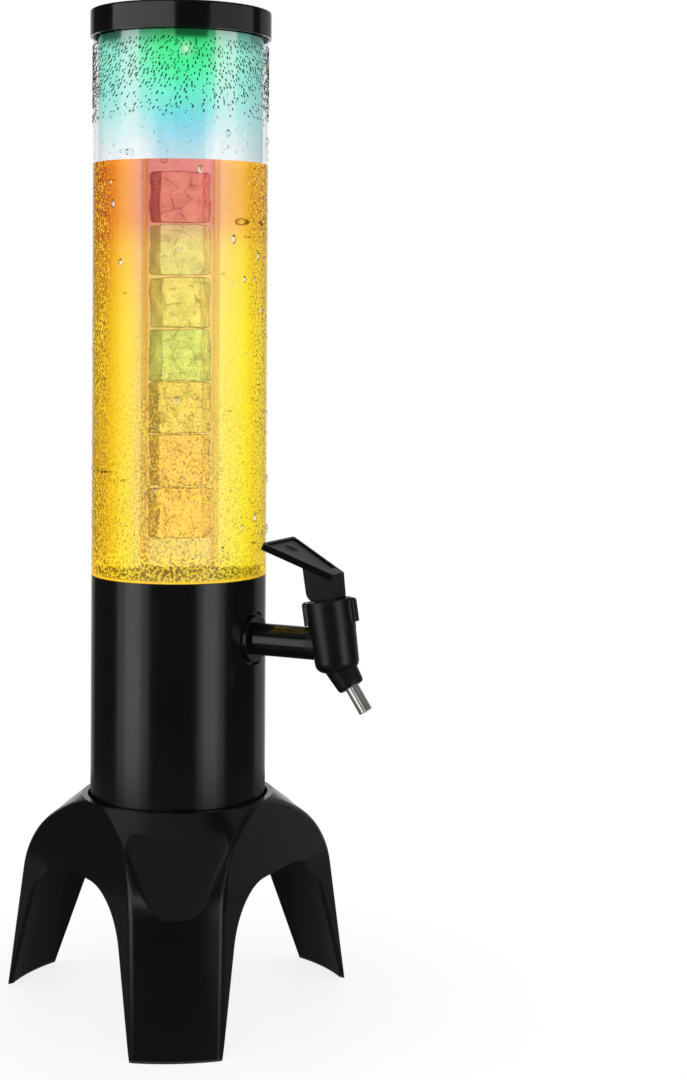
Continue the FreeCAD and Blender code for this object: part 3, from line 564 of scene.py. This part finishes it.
def addStar(tree, colour, side, level, s):
    # paints the lamp's star: a soft halo, a bright core and four short arms
    up, over = minus(tree, level, s["level"]), minus(tree, side, s["side"])
    reach = reachOf(tree, up, over)
    cross = calc(tree, "SQRT", unsigned(tree, times(tree, up, over)))
    colour = mixColours(tree, smooth(tree, reach, *s["halo"]), colour, s["haloColour"])
    arms = times(tree, smooth(tree, cross, *s["arms"]), smooth(tree, reach, *s["armReach"]))
    shape = larger(tree, smooth(tree, reach, *s["core"]), arms)
    return mixColours(tree, times(tree, shape, s["share"]), colour, s["colour"])


def makeMist(s):
    material, tree, shader = newMaterial("condensation")
    level, side = heightOf(tree), sideOf(tree)
    height = add(tree, "MapRange", i0=level, i1=s["bottom"], i2=s["top"]).outputs[0]
    share = calc(tree, "DIVIDE", side, s["radius"])
    away = reachOf(tree, side, minus(tree, s["light"], level), s["lightTall"])
    glow = smooth(tree, away, *s["lightBand"])
    # greenest round the lamp's height near the middle, and by height elsewhere: painted light
    colour = mixColours(tree, glow, ramp(tree, height, s["aside"]), ramp(tree, height, s["centre"]))
    # pale upright strips: painted highlights
    for middle, half in s["strips"]:
        strip = bandOf(tree, share, middle, half, s["stripFade"], 0.0, s["stripShare"])
        colour = mixColours(tree, strip, colour, s["stripColour"])
    # dark patches just under the lid: painted shade
    nearLid = smooth(tree, level, s["shadeFrom"], s["shadeFrom"] + s["shadeDeep"])
    for middle, half in s["shades"]:
        shade = times(tree, bandOf(tree, share, middle, half, s["shadeFade"]), nearLid)
        colour = mixColours(tree, times(tree, shade, s["shadeShare"]), colour, s["shadeColour"])
    colour = addStar(tree, colour, side, level, star)
    colour = mixColours(tree, smooth(tree, share, *s["far"]), colour, s["farColour"])
    cover = larger(tree, smooth(tree, height, *s["coverLow"]), smooth(tree, share, *s["coverFar"]))
    blotches = smooth(tree, spots(tree, s["blotchScale"], s["blotchDetail"]), *s["blotch"])
    # the film is black and shows only its painted glow
    give(tree, shader, Base_Color=black, Emission_Color=colour, Emission_Strength=1.0, Specular_IOR_Level=0.0,
         Roughness=s["roughness"], Alpha=calc(tree, "MULTIPLY", cover, blotches, clamp=True))
    return material


buildFilm("condensation", mist, makeMist(mist))


# droplets on the tube: a field of slanted ones near the lid, and loose ones all over
droplets = {"seed": 3, "tubeRadius": 0.05298, "rings": 3, "segments": 8, "sunk": 0.0001}
mistDrops = {"columns": 132, "rowGap": 0.0020, "from": 0.534, "to": 0.5815, "share": 0.74, "lowest": 0.25,
             "thicken": 1.5, "wide": (0.00036, 0.00064), "tall": (1.3, 2.0), "thick": 0.7, "jitter": 0.3,
             "stagger": 0.42, "lean": 0.2, "leanSwing": 0.85}
looseDrops = {"count": 190, "size": (0.0004, 0.0009), "tall": (1.0, 1.6), "thick": 0.6,
              "from": 0.511, "deep": 0.04}
beadDrops = {"count": 240, "size": (0.0003, 0.0007), "tall": (1, 1.3), "thick": 0.6,
             "levels": (0.264, 0.506)}
largeDrops = {"count": 44, "size": (0.0009, 0.0019), "tall": (1.2, 2.0), "thick": 0.55,
              "levels": (0.27, 0.53)}
waterLook = {"tide": (0.004, -0.002), "overDrink": (0.34, 0.17, 0.02), "ior": 1.33, "waveScale": 900.0,
             "bump": 0.05, "depth": 0.0001}
# the mist drops are tinted dark green, darker still at their rims: painted shade
mistDropLook = {"centre": (0.10, 0.30, 0.26), "rim": (0.003, 0.016, 0.014), "edge": (0.0, 0.3)}
waterDropLook = {"centre": (0.9, 0.97, 0.96), "rim": (0.05, 0.14, 0.13), "edge": (0.15, 0.8)}


def makeWater(name, s):
    material, tree, shader = newMaterial(name)
    overDrink = smooth(tree, heightOf(tree), *(drinkTop + h for h in s["tide"]))
    # each drop is darker at its rim, by facing: painted shade; below the drink's top the rim is tinted brown
    # instead
    rim = mixColours(tree, overDrink, s["rim"], s["overDrink"])
    edge = smooth(tree, facingOf(tree), *s["edge"])
    give(tree, shader, Base_Color=mixColours(tree, edge, s["centre"], rim), Transmission_Weight=1.0,
         Roughness=0.0, IOR=s["ior"])
    giveBump(tree, shader, spots(tree, s["waveScale"]), s["bump"], s["depth"])
    return material


class Domes:
    # low domes of water on the tube's wall, gathered into one mesh
    def __init__(self, s):
        self.s, self.points, self.faces = s, [], []

    def add(self, angle, height, wide, tall, thick, slant=0.0):
        radius, count, rings = self.s["tubeRadius"], self.s["segments"], self.s["rings"]
        start = len(self.points)
        for ring in range(rings):
            t = pi / 2 * ring / rings
            for k in range(count):
                a = 2 * pi * k / count
                v = tall * cos(t) * sin(a)
                u = wide * cos(t) * cos(a) + slant * v
                out = radius + thick * sin(t)
                turned = angle + u / radius
                self.points.append((out * cos(turned), out * sin(turned), height + v))
        for out in (radius + thick, radius - self.s["sunk"]):
            self.points.append((out * cos(angle), out * sin(angle), height))
        top, foot = len(self.points) - 2, len(self.points) - 1
        last = start + (rings - 1) * count
        for k in range(count):
            after = (k + 1) % count
            for row in range(start, last, count):
                self.faces.append((row + k, row + after, row + after + count, row + k + count))
            self.faces.append((last + k, last + after, top))
            self.faces.append((start + after, start + k, foot))

    def build(self, name, material):
        newPiece(name, newMesh(name, self.points, self.faces), material, "root")


def scatterMist(domes, draw, s):
    rows = int((s["to"] - s["from"]) / s["rowGap"])
    jitter = s["jitter"]
    for row in range(rows):
        height = s["from"] + s["rowGap"] * row
        keep = s["share"] * min(1.0, s["lowest"] + s["thicken"] * row / rows)
        for column in range(s["columns"]):
            if draw.random() > keep:
                continue
            wide = draw.uniform(*s["wide"])
            angle = 2 * pi * (column + s["stagger"] * row + draw.uniform(-jitter, jitter)) / s["columns"]
            lean = s["lean"] - s["leanSwing"] * Vector((cos(angle), sin(angle), 0)).dot(tapSide)
            domes.add(angle, height + draw.uniform(-jitter, jitter) * s["rowGap"], wide,
                      wide * draw.uniform(*s["tall"]), wide * s["thick"], lean)


def scatterWater(domes, draw, s):
    for i in range(s["count"]):
        size, angle = draw.uniform(*s["size"]), draw.uniform(0, 2 * pi)
        height = draw.uniform(*s["levels"]) if "levels" in s else s["from"] + s["deep"] * draw.random()
        domes.add(angle, height, size, size * draw.uniform(*s["tall"]), size * s["thick"])


def buildDroplets(s):
    draw = random.Random(s["seed"])
    misted, loose = Domes(s), Domes(s)
    scatterMist(misted, draw, mistDrops)
    for kind in (looseDrops, beadDrops, largeDrops):
        scatterWater(loose, draw, kind)
    misted.build("mistDroplets", makeWater("mistDroplet", {**waterLook, **mistDropLook}))
    loose.build("droplets", makeWater("waterDroplet", {**waterLook, **waterDropLook}))


buildDroplets(droplets)
print("droplets set")


# the light's bright point, under its lens
lightPoint = {"radius": 0.0022, "flat": 0.5, "level": 0.5772, "rows": 8, "sides": 24,
              "colour": (0.55, 1.0, 0.62), "edge": 0.5, "strength": 3.0}


def buildLightPoint(s):
    material, tree, shader = newMaterial("lightPoint")
    dimmer = tuple(s["edge"] * c for c in s["colour"])
    give(tree, shader, Emission_Color=mixColours(tree, facingOf(tree), s["colour"], dimmer),
         Emission_Strength=s["strength"])
    turns = [pi * i / s["rows"] for i in range(s["rows"] + 1)]
    outline = [(s["radius"] * sin(a), s["level"] - s["flat"] * s["radius"] * cos(a)) for a in turns]
    newPiece("lightPoint", latheMesh("lightPoint", outline, s["sides"]), material, "lid")


buildLightPoint(lightPoint)


# a pale floor that keeps the tower's shadow and fades to white
floorPlan = {"radius": 0.62, "sides": 64, "colour": (0.95, 0.95, 0.95), "lightest": 1.02, "grainScale": 4.0,
             "roughness": 0.35, "specular": 0.25, "fade": (0.1, 0.26), "veil": 0.82, "inShine": 0.1}


def buildFloor(s):
    turns = [2 * pi * i / s["sides"] for i in range(s["sides"])]
    rim = [(s["radius"] * cos(a), s["radius"] * sin(a), 0) for a in turns]
    mesh = newMesh("floor", rim, [tuple(range(s["sides"]))])
    piece = putInScene("floor", mesh)
    material, tree, shader = newMaterial("paleFloor")
    lighter = tuple(min(1, s["lightest"] * c) for c in s["colour"])
    give(tree, shader, Base_Color=mixColours(tree, spots(tree, s["grainScale"]), s["colour"], lighter),
         Roughness=s["roughness"], Specular_IOR_Level=s["specular"])
    away = add(tree, "VectorMath", {"operation": "LENGTH"}, i0=placeOf(tree)).outputs["Value"]
    far = smooth(tree, away, *s["fade"], s["veil"], 1.0)
    shine = add(tree, "LightPath").outputs["Is Glossy Ray"]
    white = add(tree, "Emission", Color=(1, 1, 1), Strength=smooth(tree, shine, 0.0, 1.0, 1.0, s["inShine"]))
    mixed = add(tree, "MixShader", i0=larger(tree, far, shine), i1=shader.outputs[0], i2=white.outputs[0])
    feed(tree, tree.nodes["Material Output"].inputs["Surface"], mixed.outputs[0])
    mesh.materials.append(material)


# the room: white to the eye and through clear pieces, dark with a few bright panels in shiny ones
studio = {"diffuse": 0.9, "ceiling": 0.22, "ceilingFrom": 0.45, "ceilingTo": 0.9}
studioPanels = {
    "backdrop": {"towards": -frontSide, "half": 22.0, "fade": 0.06, "around": 0.025, "bright": 1.0},
    "sides": {"towards": (0.956, 0.292, 0), "half": 48.0, "fade": 0.02, "around": 0.0, "bright": 0.3},
    "top": {"towards": (-0.05, 0.52, 0.85), "half": 17.0, "fade": 0.03, "around": 0.0, "bright": 0.5},
}


def addPanel(tree, direction, s):
    rim, fade = cos(radians(s["half"])), s["fade"]
    turned = along(tree, direction, s["towards"])
    return smooth(tree, turned, rim - fade, rim + fade, s["around"], s["bright"])


def buildWorld(s):
    world = bpy.data.worlds.new("studio")
    bpy.context.scene.world = world
    world.use_nodes = True
    tree = world.node_tree
    rays = add(tree, "LightPath").outputs
    direction = add(tree, "TexCoord").outputs["Generated"]
    shiny = smooth(tree, axisOf(tree, direction, 2), s["ceilingFrom"], s["ceilingTo"], 0.0, s["ceiling"])
    for panel in studioPanels.values():
        shiny = larger(tree, shiny, addPanel(tree, direction, panel))
    clear = larger(tree, rays["Is Camera Ray"], rays["Is Transmission Ray"])
    level = mixNumbers(tree, rays["Is Glossy Ray"], s["diffuse"], shiny)
    give(tree, tree.nodes["Background"], Color=(1, 1, 1), Strength=mixNumbers(tree, clear, level, 1.0))


# soft boxes round the tower: turned from the front, wide, and from a height to a height
lampPlan = {"left": {"turn": -62.0, "width": 1.5, "from": -0.45, "to": 0.66, "glow": 0.8},
            "leftBright": {"turn": -61.0, "width": 0.7, "from": -0.45, "to": 0.66, "glow": 0.9},
            "right": {"turn": 43.0, "width": 1.15, "from": -0.45, "to": 0.66, "glow": 0.7},
            "rightBright": {"turn": 42.0, "width": 0.6, "from": -0.45, "to": 0.66, "glow": 0.9},
            "leftTop": {"turn": -51.0, "width": 3.2, "from": 0.68, "to": 1.0, "glow": 1.4},
            "rightTop": {"turn": 69.0, "width": 2.2, "from": 0.68, "to": 1.0, "glow": 0.6}}
lampDistance = 1.7


def buildLamps(plan):
    for name, s in plan.items():
        lamp = bpy.data.lights.new(name + "Softbox", "AREA")
        lamp.shape = "RECTANGLE"
        lamp.size, lamp.size_y = s["width"], s["to"] - s["from"]
        lamp.energy = s["glow"] * pi * lamp.size * lamp.size_y
        holder = putInScene(name + "Softbox", lamp)
        turn = radians(s["turn"])
        direction = frontSide * cos(turn) + tapSide * sin(turn)
        holder.location = direction * lampDistance + Vector((0, 0, (s["from"] + s["to"]) / 2))
        holder.rotation_euler = direction.to_track_quat("Z", "Y").to_euler()
        holder.visible_camera = False
        holder.visible_transmission = False


buildFloor(floorPlan)
buildWorld(studio)
buildLamps(lampPlan)
print("studio lit")


# the camera stands level with the reservoir and looks a little aside and down
cameraPlan = {"turn": -59.714, "distance": 1.2341, "height": 0.4198, "aside": -4.618, "tilt": -1.12,
              "roll": 0.345, "lens": 67.53, "sensor": 36, "shiftY": -0.175, "nearest": 0.01}


def buildCamera(s):
    camera = bpy.data.cameras.new("camera")
    camera.sensor_width = s["sensor"]
    camera.sensor_fit = "AUTO"
    camera.lens = s["lens"]
    camera.shift_y = s["shiftY"]
    camera.clip_start = s["nearest"]
    holder = putInScene("camera", camera)
    turn, aside, tilt, roll = (radians(s[k]) for k in ("turn", "aside", "tilt", "roll"))
    holder.location = (s["distance"] * sin(turn), -s["distance"] * cos(turn), s["height"])
    stand = Matrix.Rotation(turn + aside, 3, "Z") @ Matrix.Rotation(pi / 2 + tilt, 3, "X")
    holder.rotation_euler = (stand @ Matrix.Rotation(roll, 3, "Z")).to_euler()
    bpy.context.scene.camera = holder


buildCamera(cameraPlan)
bpy.context.scene.view_settings.view_transform = "Standard"
print("camera placed")
